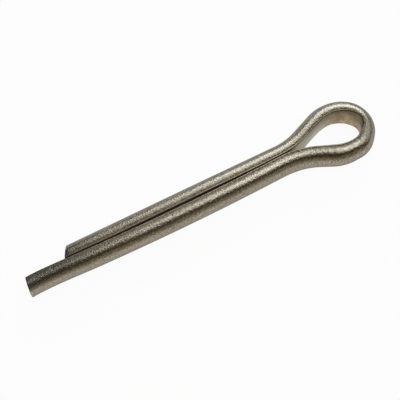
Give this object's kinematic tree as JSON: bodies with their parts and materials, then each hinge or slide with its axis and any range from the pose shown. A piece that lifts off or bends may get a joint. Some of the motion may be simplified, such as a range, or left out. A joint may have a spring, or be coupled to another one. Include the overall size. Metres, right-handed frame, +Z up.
{
  "type": "cotter pin",
  "caption": "Cotter pin of half-round steel wire bent double into a teardrop eye and a split shank with legs of unequal length; it locks a nut or a clevis pin through a cross hole.",
  "frame": {"origin": "middle of the pin's outline, on the surface that the pin lies on", "axes": "+X along the shank towards the eye, +Y towards the short leg, +Z up across the height of the wire"},
  "size_m": [0.0728, 0.013, 0.0054],
  "materials": {
    "steel": "satin, with a fine grain across the wire and faint dark marks"
  },
  "bodies": {
    "root": {"cotter_pin": "steel"}
  },
  "joints": []
}
